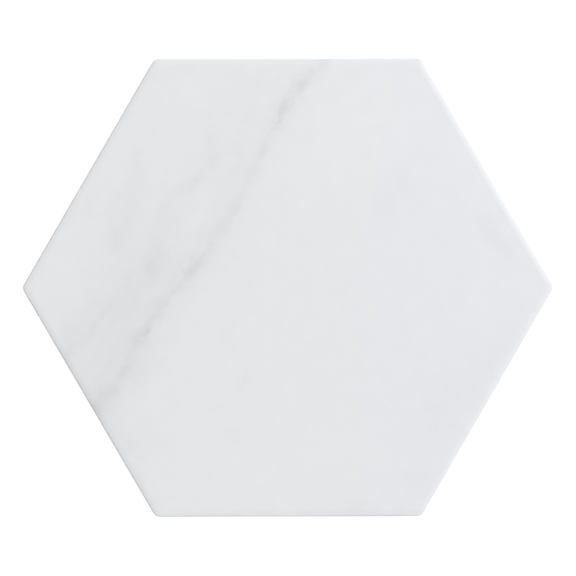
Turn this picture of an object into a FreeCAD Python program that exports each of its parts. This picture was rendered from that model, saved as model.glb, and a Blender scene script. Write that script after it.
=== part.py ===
import FreeCAD
import Part

import math
import os

# A hexagon floor tile of pressed and glazed porcelain stoneware, lying face up on its keyed back.
# It is one fired piece, so it is one solid.
# Millimetres. +X runs from point to point, +Y across the flats and +Z out of the face.
# The origin lies in the plane that the tile rests on, under the middle of the face.

# The whole tile
across_flats = 215.0  # between the two sides that run along X
across_points = 250.0  # between the two points on X, before the corners are rounded
thickness = 9.0

# The edge of the face: the flat face falls away in a long gentle arc, the cushion,
# and turns down into the side wall over a small round, the arris
cushion_width = 3.4  # from the side wall in to where the face is flat
cushion_radius = 23.0
arris_radius = 0.6
face_corner_radius = 0.2  # of the flat face's own corners, inside the cushion

# The side wall: an upright land that meets the next tile's joint, then a taper down to the back
land_bottom = 4.2  # height of the land's lower edge above the back
side_taper = 3.0  # degrees from upright
foot_chamfer = 0.7  # broken edge round the back

# The keyed back: hexagonal cells pressed into it leave a raised honeycomb that grips the adhesive
cell_pitch = 17.5  # from one cell's middle to the next
rib_width = 2.0  # of the ribs between the cells, at their crests
key_depth = 0.8
cell_taper = 35.0  # degrees from upright, of the cell's walls
back_rim = 6.5  # least plain margin between a cell and the side wall

UP = FreeCAD.Vector(0, 0, 1)


def sharp_corners():
    """The hexagon's six corners before they are rounded, anticlockwise from the point on +X."""
    half_point = across_points / 2
    half_flat = across_flats / 2
    quarter = [(half_point, 0), (half_point / 2, half_flat), (-half_point / 2, half_flat)]
    return [FreeCAD.Vector(sign * x, sign * y, 0) for sign in (1, -1) for x, y in quarter]


def sides():
    """The six sides as (outward direction, distance of the wall from the middle)."""
    corners = sharp_corners()
    found = []
    for start, end in zip(corners, corners[1:] + corners[:1]):
        outward = (end - start).cross(UP).normalize()
        found.append((outward, outward.dot(start)))
    return found


def corners_inside(inset):
    """The corners of a hexagon whose sides lie that far inside the walls; one for each pair of sides."""
    walls = sides()
    found = []
    for (out_a, reach_a), (out_b, reach_b) in zip(walls[-1:] + walls[:-1], walls):
        a = reach_a - inset
        b = reach_b - inset
        across = out_a.x * out_b.y - out_a.y * out_b.x
        x = (a * out_b.y - b * out_a.y) / across
        y = (b * out_a.x - a * out_b.x) / across
        found.append(FreeCAD.Vector(x, y, 0))
    return found


def arc_between(centre, radius, start_angle, end_angle):
    """An arc in the XZ plane about a centre (x, z), with angles in radians up from +X."""

    def on_arc(angle):
        return FreeCAD.Vector(centre[0] + radius * math.cos(angle), 0, centre[1] + radius * math.sin(angle))

    middle = (start_angle + end_angle) / 2
    return Part.Arc(on_arc(start_angle), on_arc(middle), on_arc(end_angle)).toShape()


def edge_section():
    """The tile's edge cut square across: x is 0 at the side wall and negative into the tile, y is 0."""
    taper_inset = (land_bottom - foot_chamfer) * math.tan(math.radians(side_taper))
    cushion_centre = (-cushion_width, thickness - cushion_radius)
    # the arris touches the wall, and touches the cushion's arc from inside
    arris_in = cushion_width - arris_radius
    arris_up = math.sqrt((cushion_radius - arris_radius) ** 2 - arris_in**2)
    arris_centre = (-arris_radius, cushion_centre[1] + arris_up)
    meeting_angle = math.atan2(arris_up, arris_in)
    outline = [
        FreeCAD.Vector(-cushion_width, 0, thickness),
        FreeCAD.Vector(-cushion_width, 0, 0),
        FreeCAD.Vector(-taper_inset - foot_chamfer, 0, 0),
        FreeCAD.Vector(-taper_inset, 0, foot_chamfer),
        FreeCAD.Vector(0, 0, land_bottom),
        FreeCAD.Vector(0, 0, arris_centre[1]),
    ]
    edges = [Part.makeLine(start, end) for start, end in zip(outline, outline[1:])]
    edges.append(arc_between(arris_centre, arris_radius, 0, meeting_angle))
    edges.append(arc_between(cushion_centre, cushion_radius, meeting_angle, math.pi / 2))
    return Part.Face(Part.Wire(edges))


def section_at(place, outward):
    """The edge section stood up at a place on the wall, facing outward."""
    section = edge_section()
    section.rotate(FreeCAD.Vector(0, 0, 0), UP, math.degrees(math.atan2(outward.y, outward.x)))
    section.translate(place)
    return section


def blank():
    """The tile before its back is keyed: a flat core, six straight edges and six rounded corners."""
    corner_radius = cushion_width + face_corner_radius
    core_outline = Part.makePolygon(corners_inside(corner_radius) + corners_inside(corner_radius)[:1])
    core = Part.Face(core_outline.makeOffset2D(face_corner_radius)).extrude(UP * thickness)
    pivots = corners_inside(corner_radius)
    outwards = [outward for outward, reach in sides()]
    pieces = []
    for number, outward in enumerate(outwards):
        pivot = pivots[number]
        next_pivot = pivots[(number + 1) % len(pivots)]
        turned_from = outwards[number - 1]
        turn = math.degrees(turned_from.getAngle(outward))
        corner_section = section_at(pivot + turned_from * corner_radius, turned_from)
        pieces.append(corner_section.revolve(pivot, UP, turn))
        pieces.append(section_at(pivot + outward * corner_radius, outward).extrude(next_pivot - pivot))
    return core.multiFuse(pieces).removeSplitter()


def hexagon_points(middle, across, height):
    """The corners of a level hexagon that has two of its sides facing -X and +X."""
    reach = across / math.sqrt(3)
    turns = [math.radians(30 + 60 * turn) for turn in range(6)]
    return [middle + FreeCAD.Vector(reach * math.cos(a), reach * math.sin(a), height) for a in turns]


def flat_face(points):
    """A flat face with these corners."""
    return Part.Face(Part.makePolygon(points + points[:1]))


def cell_cutter(middle):
    """What one cell takes out of the back: its mouth is wider than its floor, so that the press lets go."""
    spread = 2 * math.tan(math.radians(cell_taper))
    mouth = cell_pitch - rib_width
    clear = -key_depth / 2  # starts clear of the back
    lower = hexagon_points(middle, mouth - spread * clear, clear)
    upper = hexagon_points(middle, mouth - spread * key_depth, key_depth)
    walls = [flat_face([lower[n - 1], lower[n], upper[n], upper[n - 1]]) for n in range(6)]
    return Part.Solid(Part.Shell([flat_face(lower), flat_face(upper)] + walls))


def cell_middles():
    """The middle of every whole cell that leaves the plain rim round the back."""
    row_pitch = cell_pitch * math.sqrt(3) / 2
    rows = math.ceil(across_points / row_pitch)
    columns = math.ceil(across_points / cell_pitch)
    middles = []
    for row in range(-rows, rows + 1):
        for column in range(-columns, columns + 1):
            middle = FreeCAD.Vector((column + row % 2 / 2) * cell_pitch, row * row_pitch, 0)
            mouth = hexagon_points(middle, cell_pitch - rib_width, 0)
            if all(out.dot(point) < reach - back_rim for out, reach in sides() for point in mouth):
                middles.append(middle)
    return middles


def hexagon_tile():
    """The whole tile: the blank with its honeycomb of cells pressed into the back."""
    cutters = [cell_cutter(middle) for middle in cell_middles()]
    return blank().cut(Part.makeCompound(cutters)).Solids[0]


os.makedirs("parts", exist_ok=True)
tile = hexagon_tile()
tile.exportStep("parts/hexagon_tile.step")
print("hexagon_tile valid", tile.isValid(), "faces", len(tile.Faces), "cells", len(cell_middles()))
print("volume mm3", round(tile.Volume), "size mm", tile.optimalBoundingBox())
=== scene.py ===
# %% [markdown]
# A hexagon floor tile
#
# The object is one piece: a pressed porcelain hexagon with a satin white glaze, printed with soft
# grey marble veins. It lies face up and is photographed from straight above. This script loads the
# measured solid as a frame, builds a finer tile over it with Geometry Nodes, gives it a glazed face
# and a bare body with shader nodes, and sets up a floor, soft light and a camera.

# %% Load the frame
import math

import bmesh
import bpy
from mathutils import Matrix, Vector


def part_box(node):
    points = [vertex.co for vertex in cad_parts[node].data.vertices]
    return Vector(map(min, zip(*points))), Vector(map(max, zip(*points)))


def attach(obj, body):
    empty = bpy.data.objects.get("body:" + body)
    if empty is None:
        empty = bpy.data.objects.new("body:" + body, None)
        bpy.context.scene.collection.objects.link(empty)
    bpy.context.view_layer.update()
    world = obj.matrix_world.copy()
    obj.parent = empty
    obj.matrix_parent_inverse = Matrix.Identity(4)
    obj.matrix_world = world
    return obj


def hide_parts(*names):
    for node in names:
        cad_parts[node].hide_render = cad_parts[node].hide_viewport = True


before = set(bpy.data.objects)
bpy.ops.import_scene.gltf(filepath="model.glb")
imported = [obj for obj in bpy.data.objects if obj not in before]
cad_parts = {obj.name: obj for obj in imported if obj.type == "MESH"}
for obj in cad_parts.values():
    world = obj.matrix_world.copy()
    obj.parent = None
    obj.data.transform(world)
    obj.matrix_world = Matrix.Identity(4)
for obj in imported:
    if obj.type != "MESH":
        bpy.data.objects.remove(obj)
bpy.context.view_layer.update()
tile_low, tile_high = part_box("hexagon_tile")
MM = 0.001
print("tile size in mm:", [round(side / MM, 1) for side in tile_high - tile_low])

# %% [markdown]
# The tile's sizes are written once, in metres, so that the shape and the finishes can share them.
# The thickness and the width across the flats are read from the frame. The rest repeats what the
# solid was made with: how wide and how round the cushioned edge is, where the upright side ends,
# and how the back is keyed. The last three are finer than the solid: where the glaze ends, how
# thick it is, and how far the turns of the side are eased.

# %% Sizes
THICKNESS = tile_high.z
ACROSS_FLATS = tile_high.y - tile_low.y
ACROSS_POINTS = 250 * MM  # to the points as they were before the corners were rounded
CUSHION_WIDTH = 3.4 * MM
CUSHION_RADIUS = 23 * MM
ARRIS_RADIUS = 0.6 * MM
FACE_CORNER_RADIUS = 0.2 * MM  # of the flat face's own corners, inside the cushion
CORNER_RADIUS = CUSHION_WIDTH + FACE_CORNER_RADIUS
LAND_BOTTOM = 4.2 * MM
TAPER = math.radians(3)
FOOT_CHAMFER = 0.7 * MM
CELL_PITCH = 17.5 * MM
RIB_WIDTH = 2.0 * MM
KEY_DEPTH = 0.8 * MM
CELL_TAPER = math.radians(35)
BACK_RIM = 6.5 * MM
HEM_DROP = 2.3 * MM  # how far below the face the glaze ends on the side
GLAZE_DEPTH = 0.1 * MM
EASING = 0.12 * MM
print("corner radius in mm:", round(CORNER_RADIUS / MM, 2))

# %% [markdown]
# Node trees are easier to read in a script when a node and what feeds it fit on one line. `node`
# makes one node, sets its properties, and fills its sockets with plain values or with links from
# other nodes. `maths` does the same for the Math node, which both kinds of tree use a great deal.


# %% Helpers for node trees
def put(tree, socket, value):
    """Feeds a socket from another node's output, or sets it to a plain value."""
    if isinstance(value, bpy.types.NodeSocket):
        tree.links.new(value, socket)
    else:
        socket.default_value = value


def node(tree, kind, feeds=None, **settings):
    """One node, placed after the last one; feeds maps socket names or numbers to values."""
    made = tree.nodes.new(kind)
    made.location = (190 * (len(tree.nodes) % 12), -260 * (len(tree.nodes) // 12))
    for name, value in settings.items():
        setattr(made, name, value)
    for name, value in (feeds or {}).items():
        put(tree, made.inputs[name], value)
    return made


def maths(tree, operation, *values):
    return node(tree, "ShaderNodeMath", dict(enumerate(values)), operation=operation).outputs[0]


def new_group(name, kind, inputs, outputs):
    """A node group with named sockets, and its input and output nodes."""
    tree = bpy.data.node_groups.new(name, kind)
    for direction, sockets in (("INPUT", inputs), ("OUTPUT", outputs)):
        for label, socket_kind, *value in sockets:
            socket = tree.interface.new_socket(label, in_out=direction, socket_type=socket_kind)
            if value:
                socket.default_value = value[0]
    return tree, node(tree, "NodeGroupInput").outputs, node(tree, "NodeGroupOutput").inputs


print("helpers:", [helper.__name__ for helper in (put, node, maths, new_group)])

# %% [markdown]
# The edge of the tile
#
# Seen cut square across, the edge starts at the flat face, falls away in a long gentle arc, turns
# down over a small round, and runs down the side. The glaze is sprayed from above, so it hangs a
# little way down the side and stops in a thin uneven hem; bare body shows below it. A line of
# points with two marks on each, one for glaze and one for how far the hem may wander, is all that
# the sweep needs. The body stands a tenth of a millimetre inside the glaze. Each point is written
# as (out from the wall, up from the back, glazed, how far the hem moves it).


# %% The edge's section
def arc_points(centre, radius, start, end, steps):
    """Points (out, up) along an arc, both ends included."""
    turns = [start + (end - start) * step / steps for step in range(steps + 1)]
    return [(centre[0] + radius * math.cos(a), centre[1] + radius * math.sin(a)) for a in turns]


def cushion_section():
    """The cushion and the arris below it, which are glazed all over."""
    cushion_centre = (-CUSHION_WIDTH, THICKNESS - CUSHION_RADIUS)
    arris_in = CUSHION_WIDTH - ARRIS_RADIUS
    arris_up = math.sqrt((CUSHION_RADIUS - ARRIS_RADIUS) ** 2 - arris_in**2)
    arris_centre = (-ARRIS_RADIUS, cushion_centre[1] + arris_up)
    meeting = math.atan2(arris_up, arris_in)
    cushion = arc_points(cushion_centre, CUSHION_RADIUS, math.pi / 2, meeting, 9)
    arris = arc_points(arris_centre, ARRIS_RADIUS, meeting, 0, 7)
    return [(out, up, 1, 0) for out, up in cushion + arris[1:]]


def hem_section():
    """The end of the glaze on the side, a soft bead, and the bare wall just under it."""
    hem = THICKNESS - HEM_DROP
    clay = -GLAZE_DEPTH
    return [
        (0, hem + 0.5 * MM, 1, 0.6),
        (0, hem + 0.12 * MM, 1, 1),
        (0.4 * clay, hem + 0.03 * MM, 1, 1),
        (clay, hem, 1, 1),
        (clay, hem - 0.4 * MM, 0, 0.6),
    ]


def foot_section():
    """The bare wall from the land over the taper to the broken edge, its turns eased."""
    clay = -GLAZE_DEPTH
    foot = -(LAND_BOTTOM - FOOT_CHAMFER) * math.tan(TAPER) - EASING
    return [
        (clay, LAND_BOTTOM + 0.1 * MM, 0, 0),
        (clay - 0.05 * MM, LAND_BOTTOM, 0, 0),
        (clay - EASING, LAND_BOTTOM - 0.15 * MM, 0, 0),
        (foot, FOOT_CHAMFER, 0, 0),
        (foot - EASING, 0.42 * MM, 0, 0),
        (foot - 0.34 * MM, 0.16 * MM, 0, 0),
        (foot - FOOT_CHAMFER, 0, 0, 0),
    ]


def cell_section():
    """The wall of one cell in the back, from its mouth inwards and up to its floor."""
    slope = math.tan(CELL_TAPER)
    run = KEY_DEPTH * slope
    lip = 0.22 * MM  # how far the turns at the mouth and at the floor are eased
    return [
        (0, 0, 0, 0),
        (-0.8 * lip, 0.35 * lip, 0, 0),
        (-lip * slope - 0.8 * lip, lip, 0, 0),
        (-run, KEY_DEPTH - lip, 0, 0),
        (-run - lip, KEY_DEPTH, 0, 0),
    ]


print("depth of a cell in mm:", round(cell_section()[-1][1] / MM, 2))

# %% [markdown]
# A sweep takes its section from an object. So the points are made into two helper objects, each a
# plain line whose y runs downwards, with the two marks stored on its points.


# %% Objects for the sections
def section_object(name, points):
    """A helper object that holds a section as a line of marked points."""
    mesh = bpy.data.meshes.new(name)
    places = [(out, -up, 0) for out, up, *marks in points]
    mesh.from_pydata(places, [(n, n + 1) for n in range(len(points) - 1)], [])
    for number, mark in enumerate(("glazed", "hem"), start=2):
        layer = mesh.attributes.new(mark, "FLOAT", "POINT")
        layer.data.foreach_set("value", [float(point[number]) for point in points])
    made = bpy.data.objects.new(name, mesh)
    bpy.context.scene.collection.objects.link(made)
    return made


edge_section = cushion_section() + hem_section() + foot_section()
edge_profile = section_object("edge_profile", edge_section)
cell_profile = section_object("cell_profile", cell_section())
print("points in the edge's section:", len(edge_profile.data.vertices))

# %% [markdown]
# Both the tile and each cell in its back are rounded hexagons, so one small tree draws either. A
# circle of six points is scaled to the two widths, made into a curve, and filleted. The tile's two
# widths aren't those of a true hexagon, and scaling allows for that.


# %% A rounded hexagon as a curve
def rounded_hexagon_group():
    sockets = [
        ("Across Points", "NodeSocketFloat", 1.0),
        ("Across Flats", "NodeSocketFloat", 1.0),
        ("Corner Radius", "NodeSocketFloat", 0.1),
        ("Corner Steps", "NodeSocketInt", 4),
        ("Turn", "NodeSocketFloat", 0.0),
    ]
    tree, given, result = new_group(
        "rounded_hexagon", "GeometryNodeTree", sockets, [("Curve", "NodeSocketGeometry")]
    )
    ring = node(tree, "GeometryNodeMeshCircle", {"Vertices": 6, "Radius": 0.5})
    depth = maths(tree, "DIVIDE", given["Across Flats"], math.cos(math.radians(30)))
    widths = node(tree, "ShaderNodeCombineXYZ", {"X": given["Across Points"], "Y": depth, "Z": 1.0})
    sized = node(
        tree, "GeometryNodeTransform", {"Geometry": ring.outputs[0], "Scale": widths.outputs[0]}
    )
    turn = node(tree, "ShaderNodeCombineXYZ", {"Z": given["Turn"]})
    turned = node(
        tree, "GeometryNodeTransform", {"Geometry": sized.outputs[0], "Rotation": turn.outputs[0]}
    )
    curve = node(tree, "GeometryNodeMeshToCurve", {0: turned.outputs[0]})
    rounded = node(tree, "GeometryNodeFilletCurve", {"Curve": curve.outputs[0]}, mode="POLY")
    put(tree, rounded.inputs["Count"], given["Corner Steps"])
    put(tree, rounded.inputs["Radius"], given["Corner Radius"])
    put(tree, result["Curve"], rounded.outputs[0])
    return tree


rounded_hexagon = rounded_hexagon_group()
print("nodes in the rounded hexagon:", len(rounded_hexagon.nodes))


def hexagon_curve(tree, points, flats, radius, steps, turn=0.0):
    """The rounded hexagon placed in another tree."""
    placed = node(tree, "GeometryNodeGroup", node_tree=rounded_hexagon)
    values = {"Across Points": points, "Across Flats": flats, "Corner Radius": radius}
    for name, value in {**values, "Corner Steps": steps, "Turn": turn}.items():
        put(tree, placed.inputs[name], value)
    return placed.outputs[0]


# %% [markdown]
# The tile
#
# A sweep makes the whole edge at once: the outline is the path, and the section is carried round
# it. The path is first cut into short steps, because the hem of the glaze wanders from step to
# step. The open ring that results is closed by filling its upper edge for the face. The back is
# filled in one go between the ring's lower edge and the mouths of all the cells, since Fill Curve
# leaves out what lies inside a second loop. The pieces share their edge points exactly, so
# Merge by Distance joins them into one closed skin.


# %% Parts of the tile's tree
def loop_of_edge(tree, ring, upper, thickness):
    """The upper or lower open edge of the swept ring, as a curve."""
    single = node(tree, "GeometryNodeInputMeshEdgeNeighbors").outputs[0]
    open_edge = maths(tree, "LESS_THAN", single, 1.5)
    height = node(
        tree, "ShaderNodeSeparateXYZ", {0: node(tree, "GeometryNodeInputPosition").outputs[0]}
    )
    half = maths(tree, "MULTIPLY", thickness, 0.5)
    side = maths(tree, "GREATER_THAN" if upper else "LESS_THAN", height.outputs["Z"], half)
    chosen = maths(tree, "MULTIPLY", open_edge, side)
    return node(tree, "GeometryNodeMeshToCurve", {0: ring, "Selection": chosen}).outputs[0]


def short_steps(tree, curve, step):
    """The curve with its long straight runs cut into pieces of about one step."""
    index = node(tree, "GeometryNodeInputIndex").outputs[0]
    after = node(tree, "GeometryNodeOffsetPointInCurve", {"Point Index": index, "Offset": 1})
    here = node(tree, "GeometryNodeInputPosition").outputs[0]
    there = node(
        tree, "GeometryNodeFieldAtIndex", {"Index": after.outputs["Point Index"]},
        data_type="FLOAT_VECTOR", domain="POINT",
    )
    put(tree, there.inputs["Value"], here)
    run = node(tree, "ShaderNodeVectorMath", {0: here, 1: there.outputs[0]}, operation="DISTANCE")
    cuts = maths(tree, "FLOOR", maths(tree, "DIVIDE", run.outputs["Value"], step))
    return node(tree, "GeometryNodeSubdivideCurve", {"Curve": curve, "Cuts": cuts}).outputs[0]


def swept(tree, path, profile):
    """The profile carried along the path, its x outwards and its y downwards."""
    level = node(tree, "GeometryNodeSetCurveNormal", {"Curve": path}, mode="Z_UP").outputs[0]
    shape = node(tree, "GeometryNodeObjectInfo", {"Object": profile}).outputs["Geometry"]
    line = node(tree, "GeometryNodeMeshToCurve", {0: shape}).outputs[0]
    sweep = node(tree, "GeometryNodeCurveToMesh", {"Curve": level, "Profile Curve": line})
    return sweep.outputs[0]


print("parts of the tree:", [part.__name__ for part in (loop_of_edge, short_steps, swept)])

# %% [markdown]
# The cells stand on a lattice whose rows run along the tile's flats, every second row moved by
# half a pitch. A cell is kept only where the whole of it leaves the plain rim, and by symmetry two
# tests are enough: one against the flats and one against the slanting sides.


# %% The lattice of cells
LATTICE_COUNT = 17  # points each way, more than the tile has room for


def cell_lattice(tree, given):
    """The points where whole cells stand, and how wide a cell's mouth is."""
    pitch = given["Cell Pitch"]
    row_pitch = maths(tree, "MULTIPLY", pitch, math.cos(math.radians(30)))
    size_x = maths(tree, "MULTIPLY", pitch, LATTICE_COUNT - 1.0)
    size_y = maths(tree, "MULTIPLY", row_pitch, LATTICE_COUNT - 1.0)
    grid = node(tree, "GeometryNodeMeshGrid", {"Size X": size_x, "Size Y": size_y})
    grid.inputs["Vertices X"].default_value = LATTICE_COUNT
    grid.inputs["Vertices Y"].default_value = LATTICE_COUNT
    place = node(
        tree, "ShaderNodeSeparateXYZ", {0: node(tree, "GeometryNodeInputPosition").outputs[0]}
    )
    row = maths(tree, "ROUND", maths(tree, "DIVIDE", place.outputs["Y"], row_pitch))
    odd = maths(tree, "ABSOLUTE", maths(tree, "MODULO", row, 2.0))
    moved = maths(tree, "MULTIPLY", maths(tree, "MULTIPLY", odd, pitch), 0.5)
    shift = node(tree, "ShaderNodeCombineXYZ", {"X": moved}).outputs[0]
    rows = node(tree, "GeometryNodeSetPosition", {"Geometry": grid.outputs[0], "Offset": shift})

    middle = node(
        tree, "ShaderNodeSeparateXYZ", {0: node(tree, "GeometryNodeInputPosition").outputs[0]}
    )
    away_x = maths(tree, "ABSOLUTE", middle.outputs["X"])
    away_y = maths(tree, "ABSOLUTE", middle.outputs["Y"])
    mouth = maths(tree, "SUBTRACT", pitch, given["Rib Width"])
    margin = maths(tree, "MULTIPLY_ADD", mouth, 1 / math.sqrt(3), given["Back Rim"])
    half_flats = maths(tree, "MULTIPLY", given["Across Flats"], 0.5)
    # a slanting side runs from a point at half the width to a quarter of it, up at the flat
    run_in = maths(tree, "MULTIPLY", given["Across Points"], 0.25)
    angle = maths(tree, "ARCTAN2", run_in, half_flats)
    out_x = maths(tree, "COSINE", angle)
    out_y = maths(tree, "SINE", angle)
    reach = maths(tree, "MULTIPLY", out_x, maths(tree, "MULTIPLY", given["Across Points"], 0.5))
    along = maths(tree, "MULTIPLY_ADD", away_x, out_x, maths(tree, "MULTIPLY", away_y, out_y))
    past_slant = maths(tree, "GREATER_THAN", maths(tree, "ADD", along, margin), reach)
    past_flat = maths(tree, "GREATER_THAN", maths(tree, "ADD", away_y, margin), half_flats)
    outside = maths(tree, "MAXIMUM", past_slant, past_flat)
    kept = node(tree, "GeometryNodeDeleteGeometry", {"Geometry": rows.outputs[0], "Selection": outside})
    return kept.outputs[0], mouth


def on_lattice(tree, lattice, shape):
    """A copy of the shape at every point, as real geometry."""
    copies = node(tree, "GeometryNodeInstanceOnPoints", {"Points": lattice, "Instance": shape})
    return node(tree, "GeometryNodeRealizeInstances", {0: copies.outputs[0]}).outputs[0]


print("lattice before cells are left out:", LATTICE_COUNT, "by", LATTICE_COUNT)

# %% [markdown]
# The tree gets its sizes as named inputs, with this tile's own as what they start from. Points that
# the glaze covers carry the mark `glazed`, so that the two finishes can be set at the end. The mark
# `flat` is for the big flat fills: they are shaded flat, and all that curves is shaded smooth.

# %% Sizes and marks of the tree
HEM_LUMPS = 110.0  # of the hem's noise, in a metre
TILE_SIZES = {
    "Across Points": ACROSS_POINTS,
    "Across Flats": ACROSS_FLATS,
    "Thickness": THICKNESS,
    "Corner Radius": CORNER_RADIUS,
    "Step": 1.6 * MM,
    "Hem Wander": 0.55 * MM,
    "Hem Seed": 3.0,
    "Cell Pitch": CELL_PITCH,
    "Rib Width": RIB_WIDTH,
    "Key Depth": KEY_DEPTH,
    "Back Rim": BACK_RIM,
}


def marked(tree, geometry, name, value):
    """The geometry with a number stored on its points."""
    made = node(
        tree, "GeometryNodeStoreNamedAttribute", {"Geometry": geometry, "Name": name, "Value": value},
        data_type="FLOAT", domain="POINT",
    )
    return made.outputs[0]


def named(tree, name):
    return node(
        tree, "GeometryNodeInputNamedAttribute", {"Name": name}, data_type="FLOAT"
    ).outputs[0]


def wandering_hem(tree, ring, given):
    """The ring with the glaze's lower edge moved up and down by noise."""
    noise = node(
        tree, "ShaderNodeTexNoise", {"W": given["Hem Seed"], "Scale": HEM_LUMPS, "Detail": 3.0},
        noise_dimensions="4D",
    )
    swing = maths(tree, "MULTIPLY", maths(tree, "SUBTRACT", noise.outputs[0], 0.5), 3.0)
    move = maths(tree, "MULTIPLY", maths(tree, "MULTIPLY", swing, given["Hem Wander"]), named(tree, "hem"))
    offset = node(tree, "ShaderNodeCombineXYZ", {"Z": move}).outputs[0]
    return node(tree, "GeometryNodeSetPosition", {"Geometry": ring, "Offset": offset}).outputs[0]


def joined(tree, parts):
    """Several geometries as one."""
    made = node(tree, "GeometryNodeJoinGeometry")
    for part in parts:
        tree.links.new(part, made.inputs[0])
    return made.outputs[0]


print("sizes that the tree takes:", len(TILE_SIZES))

# %% [markdown]
# A flat fill closes the tile's face, a cell's floor and the back, each at its own level, and turned
# over where it has to look down. One cell is a swept wall and such a floor. The finish comes last:
# shading, one closed skin, and the two materials.

# %% Fills, a cell and the finish
CELL_CORNER_RADIUS = 1.3 * MM
SAME_POINT = 0.002 * MM  # points closer than this are one


def level_fill(tree, loops, level=None, looks_down=False):
    """A flat fill of the loops, lifted to a level above the back."""
    made = node(tree, "GeometryNodeFillCurve", {"Curve": loops}).outputs[0]
    if level:
        lift = node(tree, "ShaderNodeCombineXYZ", {"Z": level}).outputs[0]
        made = node(tree, "GeometryNodeSetPosition", {"Geometry": made, "Offset": lift}).outputs[0]
    if looks_down:
        made = node(tree, "GeometryNodeFlipFaces", {0: made}).outputs[0]
    return marked(tree, made, "flat", 1.0)


def keyed_cell(tree, given, mouth):
    """One cell of the back, and the curve of its mouth."""
    pointed = maths(tree, "DIVIDE", mouth, math.cos(math.radians(30)))
    rim = hexagon_curve(tree, pointed, mouth, CELL_CORNER_RADIUS, 2, math.radians(30))
    wall = swept(tree, rim, given["Cell Profile"])
    floor_loop = loop_of_edge(tree, wall, True, given["Key Depth"])
    cell_floor = level_fill(tree, floor_loop, given["Key Depth"], looks_down=True)
    return joined(tree, [wall, cell_floor]), rim


def finished(tree, skin, given):
    """The parts of the skin shaded, made one, and given their two materials."""
    smooth = maths(tree, "LESS_THAN", named(tree, "flat"), 0.99)
    shaded = node(tree, "GeometryNodeSetShadeSmooth", {"Geometry": skin, "Shade Smooth": smooth})
    closed = node(
        tree, "GeometryNodeMergeByDistance", {"Geometry": shaded.outputs[0], "Distance": SAME_POINT}
    )
    real = node(tree, "GeometryNodeRealizeInstances", {0: closed.outputs[0]}).outputs[0]
    bare = node(tree, "GeometryNodeSetMaterial", {"Geometry": real, "Material": given["Body"]})
    glazed = maths(tree, "GREATER_THAN", named(tree, "glazed"), 0.99)
    feeds = {"Geometry": bare.outputs[0], "Selection": glazed, "Material": given["Glaze"]}
    return node(tree, "GeometryNodeSetMaterial", feeds).outputs[0]


print("points closer than this in mm are joined:", round(SAME_POINT / MM, 3))

# %% [markdown]
# The tree itself puts the parts together: the swept ring and its face, then a cell, its copies on
# the lattice, and the back between them.


# %% The tile's tree
def tile_tree():
    inputs = [(name, "NodeSocketFloat", value) for name, value in TILE_SIZES.items()]
    inputs += [("Edge Profile", "NodeSocketObject"), ("Cell Profile", "NodeSocketObject")]
    inputs += [("Glaze", "NodeSocketMaterial"), ("Body", "NodeSocketMaterial")]
    tree, given, result = new_group(
        "hexagon_tile_shape", "GeometryNodeTree", inputs, [("Tile", "NodeSocketGeometry")]
    )
    outline = hexagon_curve(
        tree, given["Across Points"], given["Across Flats"], given["Corner Radius"], 7
    )
    ring = swept(tree, short_steps(tree, outline, given["Step"]), given["Edge Profile"])
    face_loop = loop_of_edge(tree, ring, True, given["Thickness"])
    face = marked(tree, level_fill(tree, face_loop, given["Thickness"]), "glazed", 1.0)

    lattice, mouth = cell_lattice(tree, given)
    cell, rim = keyed_cell(tree, given, mouth)
    cells = on_lattice(tree, lattice, cell)
    foot_loop = loop_of_edge(tree, ring, False, given["Thickness"])
    back_loops = joined(tree, [foot_loop, on_lattice(tree, lattice, rim)])
    back = level_fill(tree, back_loops, looks_down=True)

    skin = joined(tree, [wandering_hem(tree, ring, given), face, cells, back])
    put(tree, result["Tile"], finished(tree, skin, given))
    return tree


tile_shape = tile_tree()
print("nodes in the tile's tree:", len(tile_shape.nodes))

# %% [markdown]
# The tree runs as a modifier on an empty mesh. Its result is copied into a plain mesh, and the
# modifier and the two helper profiles go. The skin has to be closed with its faces outwards, so
# the mesh is measured before it is used: every edge between two faces, and a positive volume.


# %% Make the tile
def baked(name, tree, inputs):
    """What a tree makes, as an object with a plain mesh."""
    made = bpy.data.objects.new(name, bpy.data.meshes.new(name))
    bpy.context.scene.collection.objects.link(made)
    modifier = made.modifiers.new(name, "NODES")
    modifier.node_group = tree
    for item in tree.interface.items_tree:
        if item.in_out == "INPUT" and item.name in inputs:
            modifier[item.identifier] = inputs[item.name]
    graph = bpy.context.evaluated_depsgraph_get()
    result = made.evaluated_get(graph)
    mesh = bpy.data.meshes.new_from_object(result, preserve_all_data_layers=True, depsgraph=graph)
    made.modifiers.remove(modifier)
    made.data = mesh
    mesh.name = name
    used = [material for material in mesh.materials if material]
    places = [used.index(mesh.materials[face.material_index]) for face in mesh.polygons]
    mesh.materials.clear()
    for material in used:
        mesh.materials.append(material)
    mesh.polygons.foreach_set("material_index", places)
    return made


def measure(piece):
    """Says whether the piece is one closed skin, and how big it is."""
    skin = bmesh.new()
    skin.from_mesh(piece.data)
    open_edges = sum(1 for edge in skin.edges if len(edge.link_faces) != 2)
    triangles = sum(len(face.verts) - 2 for face in skin.faces)
    print(piece.name, "triangles", triangles, "edges not between two faces", open_edges,
          "volume cm3", round(skin.calc_volume(signed=True) * 1e6, 2))
    skin.free()


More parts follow.
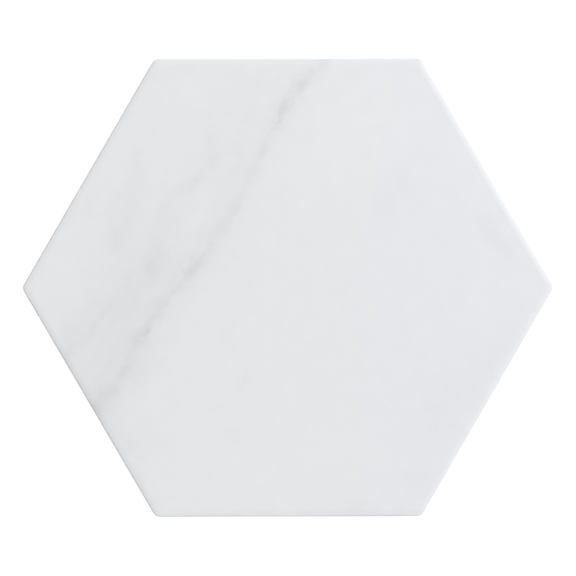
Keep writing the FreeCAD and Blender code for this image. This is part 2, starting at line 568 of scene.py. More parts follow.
glaze = bpy.data.materials.new("marble_glaze")
body = bpy.data.materials.new("bare_porcelain")
profiles = {"Edge Profile": edge_profile, "Cell Profile": cell_profile}
tile = baked("glazed_tile", tile_shape, {**TILE_SIZES, **profiles, "Glaze": glaze, "Body": body})
for helper in (edge_profile, cell_profile):
    bpy.data.objects.remove(helper)
measure(tile)
print("materials:", [material.name for material in tile.data.materials])
print("attributes:", [layer.name for layer in tile.data.attributes])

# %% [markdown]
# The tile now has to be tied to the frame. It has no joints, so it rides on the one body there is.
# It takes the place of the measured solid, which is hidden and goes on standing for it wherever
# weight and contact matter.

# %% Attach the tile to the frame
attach(tile, "root")
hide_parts("hexagon_tile")
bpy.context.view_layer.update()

# %% [markdown]
# The printed marble
#
# The face is printed with a quiet pale marble: one long grey vein with a hazy side, a fainter vein
# that leaves a cloudy knot, a few wisps, and clouds so weak that they are felt more than seen. One
# cloud along the upper right edge is painted light, and one along the lower left edge is partly
# print and partly painted shade. All of it is drawn by nodes, in millimetres on the tile's own
# coordinates, so that the pattern is part of the tile and not of the view. Every part gives a shade
# in per cent, and the shades are added up before any colour is chosen.
#
# The first helpers are about places. `noise` is sized in millimetres, and `shaken` moves a place
# about by noise, so that whatever is drawn there bends or frays.

# %% Helpers for shader trees
FACE_TO_MM = 1 / MM


def separate(tree, vector):
    return node(tree, "ShaderNodeSeparateXYZ", {0: vector}).outputs


def vectors(tree, operation, first, second):
    return node(tree, "ShaderNodeVectorMath", {0: first, 1: second}, operation=operation).outputs[0]


def noise(tree, vector, size, detail=2.0, roughness=0.5, seed=0.0, flat=False, output="Fac"):
    """Noise between 0 and 1 whose largest lumps are about this many millimetres across."""
    elsewhere = (31.7 * seed, -17.3 * seed, 0 if flat else 53.1 * seed)
    moved = vectors(tree, "ADD", vector, elsewhere)
    feeds = {"Vector": moved, "Scale": 1 / size, "Detail": detail, "Roughness": roughness}
    made = node(tree, "ShaderNodeTexNoise", feeds, noise_dimensions="2D" if flat else "3D")
    return made.outputs[output]


def shaken(tree, vector, size, reach, seed):
    """A place on the face, moved about by noise, which bends or frays whatever is drawn there."""
    push = noise(tree, vector, size, detail=3.0, roughness=0.6, seed=seed, flat=True, output="Color")
    push = vectors(tree, "SUBTRACT", push, (0.5, 0.5, 0))
    return vectors(tree, "ADD", vector, vectors(tree, "MULTIPLY", push, (reach, reach, 0)))


print("millimetres in a unit of the mesh:", round(FACE_TO_MM))

# %% [markdown]
# Four more helpers turn noise and places into a finish. `ramp` is a smooth step, `blend` lays one
# colour over another, `total` adds values up, and `drawn` looks a value up on a curve drawn through
# given points, which is how a strength can rise and fall along a vein.


# %% Ramps, blends and drawn curves
def ramp(tree, value, low, high):
    """A smooth step: 0 where the value is low, 1 where it is high."""
    feeds = {"Value": value, "From Min": low, "From Max": high}
    return node(tree, "ShaderNodeMapRange", feeds, interpolation_type="SMOOTHSTEP").outputs[0]


def blend(tree, factor, first, second):
    """One colour over another."""
    made = node(tree, "ShaderNodeMix", {0: factor}, data_type="RGBA")
    put(tree, made.inputs[6], first)
    put(tree, made.inputs[7], second)
    return made.outputs[2]


def total(tree, values):
    """The sum of several values."""
    summed = values[0]
    for value in values[1:]:
        summed = maths(tree, "ADD", summed, value)
    return summed


def drawn(tree, value, points, low, high):
    """A value looked up on a curve drawn through (place, height) points."""
    first, last = points[0][0], points[-1][0]
    curve = node(tree, "ShaderNodeFloatCurve")
    line = curve.mapping.curves[0]
    heights = [((at - first) / (last - first), (height - low) / (high - low)) for at, height in points]
    line.points[0].location = heights[0]
    line.points[1].location = heights[-1]
    for at, height in heights[1:-1]:
        line.points.new(at, height)
    curve.mapping.update()
    share = node(
        tree, "ShaderNodeMapRange", {"Value": value, "From Min": first, "From Max": last}
    ).outputs[0]
    put(tree, curve.inputs["Value"], share)
    return maths(tree, "MULTIPLY_ADD", curve.outputs[0], high - low, low)


print("helpers:", [helper.__name__ for helper in (ramp, blend, total, drawn)])

# %% [markdown]
# Two small groups draw everything. `soft_patch` is a round cloud, stretched and turned as needed.
# `vein_profile` is what a vein looks like straight across: a dark line in the middle, and a haze
# that may reach further on one side than on the other, as stain creeping away from a crack does.


# %% Groups for clouds and veins
def soft_patch_group():
    tree, given, result = new_group(
        "soft_patch", "ShaderNodeTree",
        [("Vector", "NodeSocketVector"), ("Centre", "NodeSocketVector"), ("Radii", "NodeSocketVector"),
         ("Turn", "NodeSocketVector")],
        [("Mask", "NodeSocketFloat")],
    )
    feeds = {"Vector": given["Vector"], "Location": given["Centre"]}
    feeds.update({"Rotation": given["Turn"], "Scale": given["Radii"]})
    local = node(tree, "ShaderNodeMapping", feeds, vector_type="TEXTURE").outputs[0]
    away = node(tree, "ShaderNodeVectorMath", {0: local}, operation="LENGTH").outputs["Value"]
    put(tree, result["Mask"], ramp(tree, away, 1.0, 0.0))
    return tree


def vein_profile_group():
    tree, given, result = new_group(
        "vein_profile", "ShaderNodeTree",
        [("Across", "NodeSocketFloat"), ("Half Width", "NodeSocketFloat", 2.0),
         ("Haze Above", "NodeSocketFloat", 8.0), ("Haze Below", "NodeSocketFloat", 8.0)],
        [("Line", "NodeSocketFloat"), ("Haze", "NodeSocketFloat")],
    )
    share = maths(tree, "DIVIDE", given["Across"], given["Half Width"])
    square = maths(tree, "MULTIPLY", share, share)
    # a bell with wide skirts: the middle is dark, and the rest fades slowly
    fading = maths(tree, "MULTIPLY_ADD", square, square, maths(tree, "ADD", square, 1.0))
    put(tree, result["Line"], maths(tree, "DIVIDE", 1.0, fading))
    above = maths(tree, "DIVIDE", maths(tree, "MAXIMUM", given["Across"], 0.0), given["Haze Above"])
    below = maths(tree, "DIVIDE", maths(tree, "MINIMUM", given["Across"], 0.0), given["Haze Below"])
    fall = maths(tree, "MULTIPLY_ADD", above, above, maths(tree, "ABSOLUTE", below))
    put(tree, result["Haze"], maths(tree, "EXPONENT", maths(tree, "MULTIPLY", fall, -1.0)))
    return tree


soft_patch = soft_patch_group()
vein_profile = vein_profile_group()
print("groups:", soft_patch.name, vein_profile.name)

# %% [markdown]
# A vein is placed by its two ends. Its route, and how dark it is from place to place, are drawn
# curves over its length.

# %% Placing clouds and veins
WIDEST_BEND = 15  # millimetres that a route may leave the straight line between its ends
DARKEST = 12  # per cent


def patch(tree, place, centre, radii, turn, shade):
    """One cloud: positive shades darken, negative ones lighten."""
    made = node(tree, "ShaderNodeGroup", node_tree=soft_patch)
    put(tree, made.inputs["Vector"], place)
    made.inputs["Centre"].default_value = (*centre, 0)
    made.inputs["Radii"].default_value = (*radii, 1)
    made.inputs["Turn"].default_value = (0, 0, math.radians(turn))
    return maths(tree, "MULTIPLY", made.outputs[0], shade)


def vein(tree, place, start, end, bends, line, haze, half_width, haze_above, haze_below):
    """A vein from start to end; bends, line and haze are curves over the length in millimetres."""
    run = Vector(end) - Vector(start)
    local = node(tree, "ShaderNodeMapping", {"Vector": place}, vector_type="TEXTURE")
    local.inputs["Location"].default_value = (*start, 0)
    local.inputs["Rotation"].default_value = (0, 0, math.atan2(run.y, run.x))
    along = separate(tree, local.outputs[0])
    offset = drawn(tree, along["X"], bends, -WIDEST_BEND, WIDEST_BEND)
    across = maths(tree, "SUBTRACT", along["Y"], offset)
    feeds = {"Across": across, "Half Width": half_width}
    feeds.update({"Haze Above": haze_above, "Haze Below": haze_below})
    made = node(tree, "ShaderNodeGroup", node_tree=vein_profile)
    for name, value in feeds.items():
        put(tree, made.inputs[name], value)
    dark = maths(tree, "MULTIPLY", made.outputs["Line"], drawn(tree, along["X"], line, 0, DARKEST))
    soft = maths(tree, "MULTIPLY", made.outputs["Haze"], drawn(tree, along["X"], haze, 0, DARKEST))
    return dark, soft, local.outputs[0]


print("widest bend in mm:", WIDEST_BEND, "darkest shade in per cent:", DARKEST)

# %% [markdown]
# The routes are given from one end of a vein to the other, as how far along and how far to the
# side, and the strengths as how far along and how dark in per cent. The dark knots of the real
# pattern are peaks in those strengths.

# %% The veins
MAIN_VEIN = {
    "start": (-94.2, -60.2), "end": (22.2, 112.2),
    "bends": [(0, 0), (5, -0.4), (13, -1.9), (22, -3.0), (28, -2.9), (35, -1.4), (50, 0.3), (63, 0.2),
              (81, -1.5), (91, -3.6), (107, -3.4), (124, -2.2), (142, 0), (158, 2.5), (165, 2.8),
              (173, 4.1), (185, 3.5), (201, 0.3), (208, -1)],
    "line": [(0, 12), (6, 9), (11, 3.8), (15, 3.6), (21, 2.6), (29, 4.2), (36, 3.4), (45, 8.6), (54, 5.4),
             (68, 4.6), (75, 4.4), (81, 6.4), (86, 4.8), (92, 5.2), (100, 4.6), (108, 2.8), (116, 3.4),
             (124, 3), (132, 1.7), (145, 4), (156, 3), (163, 6.5), (168, 9), (178, 9.6), (188, 6.8),
             (200, 3.8), (208, 3)],
    "haze": [(0, 5.5), (60, 5.5), (90, 4.6), (125, 3), (150, 2), (185, 1.6), (208, 1)],
    "haze_above": 34.0, "haze_below": 8.0,
}
SIDE_VEIN = {
    "start": (-68.4, 13.6), "end": (-106, -34.3),
    "bends": [(0, 0), (5.5, 0), (15, 1.5), (23, 2.2), (33, 1), (40, 1.8), (45, 1.3), (53, 0.3), (61, 0)],
    "line": [(0, 0), (6, 1.2), (15, 2.2), (23, 0.8), (33, 1.6), (40, 2.4), (46, 1.2), (54, 2.4), (61, 3)],
    "haze": [(0, 0), (14, 1), (40, 0.8), (61, 1.2)],
    "half_width": 2.6,
}
WISP_NEAR = {
    "start": (-39.5, 84), "end": (-64, 16.5),
    "bends": [(0, 0.5), (13.5, 9), (21.5, 11.8), (34, 7.8), (48.5, -2), (57.5, -2.8), (72, 0)],
    "line": [(0, 0), (6, 1.4), (14, 1.6), (22, 2.6), (30, 2.2), (37, 2.8), (42, 1.3), (52, 1.6),
             (62, 1.5), (72, 0.6)],
    "haze": [(0, 0), (20, 0.9), (46, 0.7), (72, 0.5)],
    "half_width": 2.8,
}
WISP_FAR = {
    "start": (-70, 68), "end": (-84, 14),
    "bends": [(0, -1.5), (7, 0.8), (20, 3), (27.5, 3.9), (34, 1.9), (46, 1.5), (56, 1.3)],
    "line": [(0, 0), (8, 2.2), (20, 1.6), (28, 1.6), (36, 1), (46, 1), (56, 0)],
    "haze": [(0, 0), (14, 1.2), (36, 1), (46, 1.2), (56, 0)],
    "half_width": 3.8,
}
WISP_BESIDE = {
    "start": (-16, 96), "end": (-26, 46),
    "bends": [(0, 0), (20, 1.5), (35, -0.5), (51, 0)],
    "line": [(0, 0), (10, 0.7), (24, 0.5), (38, 1.6), (51, 0)],
    "haze": [(0, 0), (25, 0.5), (51, 0)],
    "half_width": 3.0,
}
WISPS = [SIDE_VEIN, WISP_NEAR, WISP_FAR, WISP_BESIDE]
WISP_HAZE = {"haze_above": 9.0, "haze_below": 5.0}
print("points on the main vein's route:", len(MAIN_VEIN["bends"]), "wisps:", len(WISPS))

# %% [markdown]
# The clouds fill in what the veins leave: the dark knot and bands on the left, blots along the
# upper half of the main vein, and very weak patches elsewhere. Where the glaze is lighter than
# around it, the shade is negative. Two clouds stand for light instead. The lighter one along the
# upper right edge is painted light where the edge faces the lamps. The darker band along the lower
# left edge is partly print and partly painted shade where the edge turns away from them.

# %% The clouds
# (middle), (half length, half width), turn in degrees, shade in per cent
CLOUDS_AND_PAINTED_EDGE_LIGHT = [
    ((-63.5, 11), (13, 9), 65, 4.2),
    ((-65, 9.5), (7, 4), 60, 2.2),
    ((-60, 24), (13, 5), 88, 1.2),
    ((-84, -14), (24, 12), 50, 0.8),
    ((-92, 42), (16, 8), 60, 1.7),
    ((-43, 36), (18, 9), 70, -2.7),
    ((-11.4, 64.6), (6, 4), 60, 3.2),
    ((-17.4, 54.2), (5, 3.5), 60, 1.6),
    ((-25, 40), (9, 4.5), 55, 2.4),
    ((-45, 9.5), (9, 6), 52, 1.6),
    ((-63, -5), (10, 6), 50, -2.6),
    ((-80, 27), (30, 11), 88, 2.1),
    ((-85, -50), (10, 6), 15, 4.0),
    ((-89, -61), (9, 6), 50, 3.0),
    ((-76, -37), (8, 4), 60, 0.8),
    ((-63.5, -17), (8, 3), 55, 2.4),
    ((-66, -72), (24, 16), -55, 1.4),
    # partly print, partly painted shade along the lower left edge, which turns away from the lamp
    ((-80, -68), (36, 9), -60, 3.0),
    ((-68, -38), (28, 10), 57, 2.0),
    ((50, 44), (18, 12), 60, 1.6),
    ((97, 24), (22, 9), -57, 3.6),
    ((94, -38), (50, 8), 60, 1.6),
    ((74, -52), (46, 17), 60, 1.8),
    ((61, -90), (14, 10), 60, 2.0),
    ((33, -104), (14, 7), 5, 3.0),
    ((-20, -44), (10, 5), 50, 1.9),
    ((-27, -71), (9, 5), 80, 1.5),
    ((-20, -84), (28, 16), 0, -1.1),
    ((-28, -20), (9, 5), 80, 1.4),
    ((36, 86), (46, 30), 0, -1.6),
    ((20, 60), (60, 26), 10, -1.3),
    # painted light along the upper right edge, which faces the lamps
    ((87, 54), (60, 12), -60, -1.2),
    ((90, 0), (26, 12), 80, -0.6),
    ((-106, 8), (14, 12), 60, -0.8),
    ((-102, -23), (20, 9), 60, 2.9),
    ((-44, 92), (26, 13), 0, -1.8),
    ((0, 105), (64, 8), 0, -1.6),
    ((22, -78), (42, 20), 0, -1.2),
]
print("clouds in the pattern:", len(CLOUDS_AND_PAINTED_EDGE_LIGHT))

# %% [markdown]
# Lines drawn by plain curves would look ruled. So the place itself is shaken twice before anything
# is looked up, in wide sways and in a fine fray. Along the main vein two noises, both drawn out
# lengthways, break the dark line into beads and the haze into streaks. A last mottle lies over the
# whole face.


# %% The whole print and the painted edge light
def main_vein_shades(tree, place, frayed, broken):
    """The main vein's line and haze, of uneven width, in beads and streaks."""
    width = noise(tree, place, size=16.0, seed=4, flat=True)
    width = maths(tree, "MULTIPLY_ADD", width, 3.4, 1.6)
    line, haze, lengthways = vein(tree, frayed, **MAIN_VEIN, half_width=width)
    strokes = node(tree, "ShaderNodeMapping", {"Vector": lengthways}, vector_type="POINT")
    strokes.inputs["Scale"].default_value = (0.4, 1, 1)
    strokes.inputs["Rotation"].default_value = (0, 0, math.radians(5))
    drawn_out = strokes.outputs[0]
    streaks = noise(tree, drawn_out, size=6.0, detail=5.0, roughness=0.62, seed=5, flat=True)
    streaks = maths(tree, "MULTIPLY_ADD", streaks, 1.5, 0.25)
    beads = noise(tree, drawn_out, size=2.6, detail=3.0, roughness=0.6, seed=15, flat=True)
    beads = maths(tree, "MULTIPLY_ADD", beads, 2.0, maths(tree, "SUBTRACT", broken, 1.0))
    beads = maths(tree, "MAXIMUM", beads, 0.1)
    return [maths(tree, "MULTIPLY", line, beads), maths(tree, "MULTIPLY", haze, streaks)]


def wisp_shades(tree, frayed, broken):
    """The weaker veins, each with a broken line and a haze."""
    parts = []
    for wisp in WISPS:
        line, haze, _ = vein(tree, frayed, **wisp, **WISP_HAZE)
        parts += [maths(tree, "MULTIPLY", line, broken), haze]
    return parts


def marble_shade(tree, place):
    """The print's shade in per cent at a place on the face in millimetres, with painted light and shade
    along two edges.
    """
    swayed = shaken(tree, place, size=10.0, reach=4.0, seed=1)
    frayed = shaken(tree, swayed, size=2.8, reach=4.0, seed=2)
    grain = noise(tree, place, size=5.0, detail=6.0, roughness=0.7, seed=3, flat=True)
    broken = maths(tree, "MULTIPLY_ADD", grain, 2.4, -0.2)
    parts = main_vein_shades(tree, place, frayed, broken) + wisp_shades(tree, frayed, broken)
    lumps = noise(tree, place, size=9.0, detail=5.0, roughness=0.65, seed=6, flat=True)
    # the print's clouds, and the painted light and shade along two edges
    clouds_and_painted_edge_light = total(tree, [patch(tree, frayed, *cloud) for cloud in CLOUDS_AND_PAINTED_EDGE_LIGHT])
    parts.append(maths(tree, "MULTIPLY", clouds_and_painted_edge_light, maths(tree, "MULTIPLY_ADD", lumps, 1.8, 0.1)))
    mottle = noise(tree, place, size=9.0, detail=6.0, roughness=0.68, seed=7, flat=True)
    parts.append(maths(tree, "MULTIPLY", maths(tree, "SUBTRACT", mottle, 0.5), 5.5))
    return total(tree, parts)


print("shades that are summed:", 2 + 2 * len(WISPS) + 2)

# %% [markdown]
# Grain
#
# Fired clay and fired glaze both carry a fine grain: tiny grey and brown specks from the minerals,
# and a surface that isn't quite smooth. One group makes it for both finishes, with its own sizes
# and strengths in each.


# %% The shared grain
def fine_grain_group():
    tree, given, result = new_group(
        "fine_grain", "ShaderNodeTree",
        [("Vector", "NodeSocketVector"), ("Lump Size", "NodeSocketFloat", 1.0),
         ("Speck Size", "NodeSocketFloat", 1.0), ("Speck Share", "NodeSocketFloat", 0.1)],
        [("Lumps", "NodeSocketFloat"), ("Specks", "NodeSocketFloat"), ("Height", "NodeSocketFloat")],
    )
    lumpy = node(tree, "ShaderNodeTexNoise", {"Vector": given["Vector"], "Detail": 5.0, "Roughness": 0.62})
    put(tree, lumpy.inputs["Scale"], maths(tree, "DIVIDE", 1.0, given["Lump Size"]))
    cells = node(tree, "ShaderNodeTexVoronoi", {"Vector": given["Vector"]}, feature="F1")
    put(tree, cells.inputs["Scale"], maths(tree, "DIVIDE", 1.0, given["Speck Size"]))
    near = ramp(tree, cells.outputs["Distance"], 0.32, 0.12)
    lottery = separate(tree, cells.outputs["Color"])["X"]
    picked = maths(tree, "LESS_THAN", lottery, given["Speck Share"])
    specks = maths(tree, "MULTIPLY", near, picked)
    put(tree, result["Lumps"], lumpy.outputs["Fac"])
    put(tree, result["Specks"], specks)
    put(tree, result["Height"], maths(tree, "MULTIPLY_ADD", specks, -0.5, lumpy.outputs["Fac"]))
    return tree


fine_grain = fine_grain_group()
print("nodes in the grain:", len(fine_grain.nodes))


def grain_on(tree, place, lump_size, speck_size, speck_share):
    """The grain in a material's own sizes, in millimetres, and its own share of specks."""
    made = node(tree, "ShaderNodeGroup", node_tree=fine_grain)
    sizes = {"Lump Size": lump_size, "Speck Size": speck_size, "Speck Share": speck_share}
    for name, value in {"Vector": place, **sizes}.items():
        put(tree, made.inputs[name], value)
    return made.outputs


def started(material):
    """An emptied material: its tree, its shader, and the place on the piece in millimetres."""
    material.use_nodes = True
    tree = material.node_tree
    tree.nodes.clear()
    shader = node(tree, "ShaderNodeBsdfPrincipled")
    node(tree, "ShaderNodeOutputMaterial", {"Surface": shader.outputs[0]})
    place = node(tree, "ShaderNodeTexCoord").outputs["Object"]
    scaled = node(tree, "ShaderNodeVectorMath", {0: place, "Scale": FACE_TO_MM}, operation="SCALE")
    return tree, shader, scaled.outputs[0]


def bumped(tree, shader, height, depth):
    """Relief on the shader; depth is how many metres a height of 1 stands for."""
    bump = node(tree, "ShaderNodeBump", {"Height": height, "Distance": depth, "Strength": 1.0})
    put(tree, shader.inputs["Normal"], bump.outputs[0])


# %% [markdown]
# The glaze
#
# A satin glaze: white with a cold cast, smooth to the hand but without a mirror's sharpness. The
# print lies under it and stops where the edge turns down, because the tile is printed from above.
# Near its hem on the side the glaze thins and the warmer body shows through.

# %% The glaze's colours
COLD_WHITE = (0.784, 0.792, 0.809, 1)
COLDER_WHITE = (0.772, 0.783, 0.812, 1)  # towards the right-hand point
VEIN_GREY = (0.272, 0.253, 0.27, 1)
PALEST = (0.86, 0.86, 0.87, 1)
BODY_THROUGH_GLAZE = (0.68, 0.645, 0.585, 1)
GREY_PER_SHADE = 0.0145  # how much of the grey one per cent of shade mixes in
PALE_PER_GREY = 6.0  # how much more of the palest a negative shade mixes in
# millimetres below the face
PRINT_WHOLE = 0.35
PRINT_GONE = 1.3
GLAZE_WHOLE = 1.4
GLAZE_THINNEST = 3.0
print("share of grey in the darkest line:", round(DARKEST * GREY_PER_SHADE, 3))

# %% [markdown]
# The shades are turned into colour here. The gloss varies softly from place to place, and the
# surface is almost flat: a long sway of a few hundredths of a millimetre, and a far finer peel.


# %% Marble glaze
def make_glaze(material):
    tree, shader, place = started(material)
    parts = separate(tree, place)
    flat_place = node(tree, "ShaderNodeCombineXYZ", {"X": parts["X"], "Y": parts["Y"]}).outputs[0]
    top = THICKNESS / MM
    printed = ramp(tree, parts["Z"], top - PRINT_GONE, top - PRINT_WHOLE)
    shade = maths(tree, "MULTIPLY", marble_shade(tree, flat_place), printed)
    grain = grain_on(tree, place, lump_size=0.8, speck_size=2.6, speck_share=0.05)
    dots = maths(tree, "MULTIPLY", maths(tree, "SUBTRACT", grain["Lumps"], 0.5), 1.6)
    shade = total(tree, [shade, dots, maths(tree, "MULTIPLY", grain["Specks"], 0.8)])

    white = blend(tree, ramp(tree, parts["X"], -20.0, 110.0), COLD_WHITE, COLDER_WHITE)
    grey = maths(tree, "MULTIPLY", shade, GREY_PER_SHADE)
    pale = maths(tree, "MULTIPLY", maths(tree, "MINIMUM", grey, 0.0), -PALE_PER_GREY)
    colour = blend(tree, maths(tree, "MAXIMUM", grey, 0.0), white, VEIN_GREY)
    colour = blend(tree, pale, colour, PALEST)
    thin = ramp(tree, parts["Z"], top - GLAZE_WHOLE, top - GLAZE_THINNEST)
    thin = maths(tree, "MULTIPLY", thin, maths(tree, "MULTIPLY_ADD", grain["Lumps"], 0.6, 0.1))
    put(tree, shader.inputs["Base Color"], blend(tree, thin, colour, BODY_THROUGH_GLAZE))

    satin = noise(tree, place, size=18.0, detail=3.0, roughness=0.6, seed=11)
    rough = maths(tree, "MULTIPLY_ADD", satin, 0.12, 0.36)
    rough = maths(tree, "MULTIPLY_ADD", grain["Specks"], 0.12, rough)
    put(tree, shader.inputs["Roughness"], rough)
    peel = noise(tree, place, size=2.2, seed=12)
    sway = noise(tree, place, size=34.0, detail=1.0, roughness=0.4, seed=13)
    # heights in millimetres
    height = total(tree, [
        maths(tree, "MULTIPLY", peel, 0.004),
        maths(tree, "MULTIPLY", sway, 0.05),
        maths(tree, "MULTIPLY", grain["Height"], 0.0015),
    ])
    bumped(tree, shader, height, MM)
    shader.inputs["IOR"].default_value = 1.5


make_glaze(glaze)
print("glaze nodes:", len(glaze.node_tree.nodes))

# %% [markdown]
# The bare body
#
# The back and the lower sides are unglazed. The clay fires to a pale warm grey with fine specks.
# The ribs and the rim ran over the kiln's rollers, which leave a chalky wash on whatever stands
# proud, while the bottoms of the cells stay darker. The sides carry faint upright marks from the
# die that the tile was pushed out of.

# %% Bare porcelain
DARK_CLAY = (0.60, 0.565, 0.50, 1)
PALE_CLAY = (0.70, 0.67, 0.61, 1)
LUMP_GREY = (0.52, 0.48, 0.42, 1)
SPECK_BROWN = (0.33, 0.27, 0.21, 1)
CHALK_WHITE = (0.84, 0.83, 0.80, 1)
# the grey that the floors of the cells are darkened towards
CELL_FLOOR_GREY = (0.46, 0.43, 0.38, 1)


def make_body(material):
    tree, shader, place = started(material)
    parts = separate(tree, place)
    grain = grain_on(tree, place, lump_size=0.7, speck_size=1.5, speck_share=0.16)
    tone = noise(tree, place, size=42.0, detail=4.0, roughness=0.6, seed=21)
    clay = blend(tree, tone, DARK_CLAY, PALE_CLAY)
    clay = blend(tree, maths(tree, "MULTIPLY", grain["Lumps"], 0.35), clay, LUMP_GREY)
    clay = blend(tree, maths(tree, "MULTIPLY", grain["Specks"], 0.55), clay, SPECK_BROWN)

    # each ramp over Z runs between two heights above the back, in millimetres
    low = ramp(tree, parts["Z"], 0.12, 0.03)
    worn = noise(tree, place, size=12.0, detail=6.0, roughness=0.68, seed=22)
    rubbed = ramp(tree, worn, 0.40, 0.62)
    along = node(tree, "ShaderNodeMapping", {"Vector": place}, vector_type="POINT")
    along.inputs["Scale"].default_value = (0.05, 1, 1)
    rolled = noise(tree, along.outputs[0], size=4.0, detail=3.0, roughness=0.6, seed=23)
    tracks = ramp(tree, rolled, 0.42, 0.60)
    chalk = maths(tree, "MULTIPLY_ADD", tracks, 0.35, maths(tree, "MULTIPLY", rubbed, 0.45))
    wash = maths(tree, "MULTIPLY", low, chalk)
    clay = blend(tree, wash, clay, CHALK_WHITE)
    # the floors of the cells are made darker
    deep = ramp(tree, parts["Z"], 0.45, 0.8)
    under = ramp(tree, parts["Z"], 1.2, 0.9)
    cell_floor_darkening = maths(tree, "MULTIPLY", maths(tree, "MULTIPLY", deep, under), 0.22)
    put(tree, shader.inputs["Base Color"], blend(tree, cell_floor_darkening, clay, CELL_FLOOR_GREY))

    put(tree, shader.inputs["Roughness"], maths(tree, "MULTIPLY_ADD", grain["Lumps"], 0.14, 0.76))
    upright = node(tree, "ShaderNodeMapping", {"Vector": place}, vector_type="POINT")
    upright.inputs["Scale"].default_value = (1, 1, 0.08)
    drag = noise(tree, upright.outputs[0], size=1.1, roughness=0.6, seed=24)
    side = ramp(tree, parts["Z"], 0.9, 1.6)
    # heights in millimetres
    height = total(tree, [
        maths(tree, "MULTIPLY", grain["Height"], 0.05),
        maths(tree, "MULTIPLY", maths(tree, "MULTIPLY", drag, side), 0.05),
        maths(tree, "MULTIPLY", wash, 0.03),
    ])
    bumped(tree, shader, height, MM)


make_body(body)
print("body nodes:", len(body.node_tree.nodes))

# %% [markdown]
# Floor, light and camera
#
# The tile is photographed on pure white. The floor takes the tile's shadow as plain matt paper
# does, and gives the camera enough of its own white to wash most of it out. Under the tile the
# floor has an opening, hidden by the tile, and seen from below it is clear, so that the keyed back
# can be looked at too.


# %% The floor
FLOOR_REACH = 6.0  # metres
PAPER_GREY = (0.6, 0.6, 0.6, 1)
PAPER_OWN_WHITE = 0.76  # what the paper adds for the camera, where 1 is white
FLOOR_LEVEL = -0.2 * MM
FLOOR_UNDER_TILE = 2.2 * MM  # how far the floor reaches in under the tile's edge


def floor_with_opening():
    """A wide floor with a hexagonal opening a little smaller than the tile."""
    mesh = bpy.data.meshes.new("floor")
    share = 1 - FLOOR_UNDER_TILE / (ACROSS_FLATS / 2)
    half_point = share * ACROSS_POINTS / 2
    half_flat = share * ACROSS_FLATS / 2
    corners = [(half_point, 0), (half_point / 2, half_flat), (-half_point / 2, half_flat)]
    corners += [(-x, -y) for x, y in corners]
    turns = [math.radians(60 * number) for number in range(6)]
    corners += [(FLOOR_REACH * math.cos(turn), FLOOR_REACH * math.sin(turn)) for turn in turns]
    faces = [(n, n + 6, (n + 1) % 6 + 6, (n + 1) % 6) for n in range(6)]
    mesh.from_pydata([(x, y, FLOOR_LEVEL) for x, y in corners], [], faces)
    made = bpy.data.objects.new("floor", mesh)
    bpy.context.scene.collection.objects.link(made)
    print("floor faces up:", all(face.normal.z > 0 for face in mesh.polygons))
    return made


def seen_directly(tree):
    """1 for what the camera sees straight, in gloss or through glass, and 0 for light on surfaces."""
    rays = node(tree, "ShaderNodeLightPath").outputs
    seen = maths(tree, "MAXIMUM", rays["Is Camera Ray"], rays["Is Glossy Ray"])
    return maths(tree, "MAXIMUM", seen, rays["Is Transmission Ray"])


def make_paper(material):
    """Matt paper that the camera and reflections see whiter than it is lit."""
    material.use_nodes = True
    tree = material.node_tree
    tree.nodes.clear()
    lit = node(tree, "ShaderNodeBsdfDiffuse", {"Color": PAPER_GREY}).outputs[0]
    glow = maths(tree, "MULTIPLY", seen_directly(tree), PAPER_OWN_WHITE)
    white = node(tree, "ShaderNodeEmission", {"Strength": glow}).outputs[0]
    both = node(tree, "ShaderNodeAddShader", {0: lit, 1: white}).outputs[0]
    below = node(tree, "ShaderNodeNewGeometry").outputs["Backfacing"]
    clear = node(tree, "ShaderNodeBsdfTransparent").outputs[0]
    mixed = node(tree, "ShaderNodeMixShader", {0: below, 1: both, 2: clear}).outputs[0]
    node(tree, "ShaderNodeOutputMaterial", {"Surface": mixed})


floor = floor_with_opening()
paper = bpy.data.materials.new("white_paper")
make_paper(paper)
floor.data.materials.append(paper)

# %% [markdown]
# One large soft lamp stands far off to the right, a little towards the top of the picture, and the
# world fills in the rest. Far off, it lights the whole face almost evenly, and only the cushioned
# edge, which tips towards it or away, tells where it stands: lighter along the upper right, darker
# along the lower left. A second lamp lights the back through the floor's opening.
#
# The lamp is kept out of the glaze's reflections, where it would burn the print out of the whole
# face at one angle. A small lamp, higher up on the same side, lights nothing but the reflections,
# and gives the satin its sheen along the upper right edge.

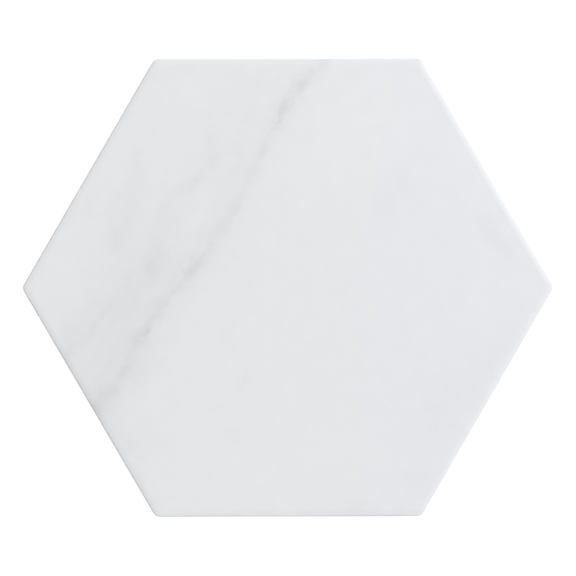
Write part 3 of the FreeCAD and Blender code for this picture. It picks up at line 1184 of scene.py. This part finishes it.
# %% Light
WORLD_LIGHT = 0.48
world = bpy.data.worlds.new("studio")
bpy.context.scene.world = world
world.use_nodes = True
tree = world.node_tree
tree.nodes.clear()
strength = maths(tree, "MULTIPLY_ADD", seen_directly(tree), 1 - WORLD_LIGHT, WORLD_LIGHT)
sky = node(tree, "ShaderNodeBackground", {"Color": (1, 1, 1, 1), "Strength": strength})
node(tree, "ShaderNodeOutputWorld", {"Surface": sky.outputs[0]})


def soft_lamp(name, turn, lift, away, size, watts, gloss=True, diffuse=True):
    """A square lamp facing the tile's middle, that far away in the direction of turn and lift."""
    light = bpy.data.lights.new(name, "AREA")
    light.shape = "SQUARE"
    light.size = size
    light.energy = watts
    lamp = bpy.data.objects.new(name, light)
    bpy.context.scene.collection.objects.link(lamp)
    turn = math.radians(turn)
    lift = math.radians(lift)
    ray = Vector((math.cos(turn) * math.cos(lift), math.sin(turn) * math.cos(lift), math.sin(lift)))
    lamp.location = ray * away
    lamp.rotation_euler = ray.to_track_quat("Z", "Y").to_euler()
    lamp.visible_camera = False
    lamp.visible_glossy = gloss
    lamp.visible_diffuse = diffuse
    return lamp


lamps = [
    soft_lamp("window", turn=22, lift=31, away=9.0, size=4.8, watts=862, gloss=False),
    soft_lamp("sheen", turn=28, lift=54, away=3.0, size=1.2, watts=36, diffuse=False),
    soft_lamp("under_light", turn=-60, lift=-70, away=2.0, size=1.2, watts=22),
]
print("lamps:", [(lamp.name, round(lamp.data.energy)) for lamp in lamps])

# %% [markdown]
# The camera looks straight down through a long lens. Its height makes one pixel of the picture
# 0.469 mm on the face, and it is moved and turned by a hair, as the photographer's was.

# %% Camera
MM_PER_PIXEL = 0.469
PICTURE_PIXELS = 576
CAMERA_SHIFT = (-0.14 * MM, -0.28 * MM)
CAMERA_TURN = math.radians(-0.12)
lens = bpy.data.cameras.new("camera")
lens.lens = 100
lens.sensor_width = 36
camera = bpy.data.objects.new("camera", lens)
bpy.context.scene.collection.objects.link(camera)
bpy.context.scene.camera = camera
picture_width = MM_PER_PIXEL * MM * PICTURE_PIXELS
camera.location = (*CAMERA_SHIFT, THICKNESS + picture_width * lens.lens / lens.sensor_width)
camera.rotation_euler = (0, 0, CAMERA_TURN)
bpy.context.scene.view_settings.view_transform = "Standard"
print("picture width in mm:", round(picture_width / MM, 1))
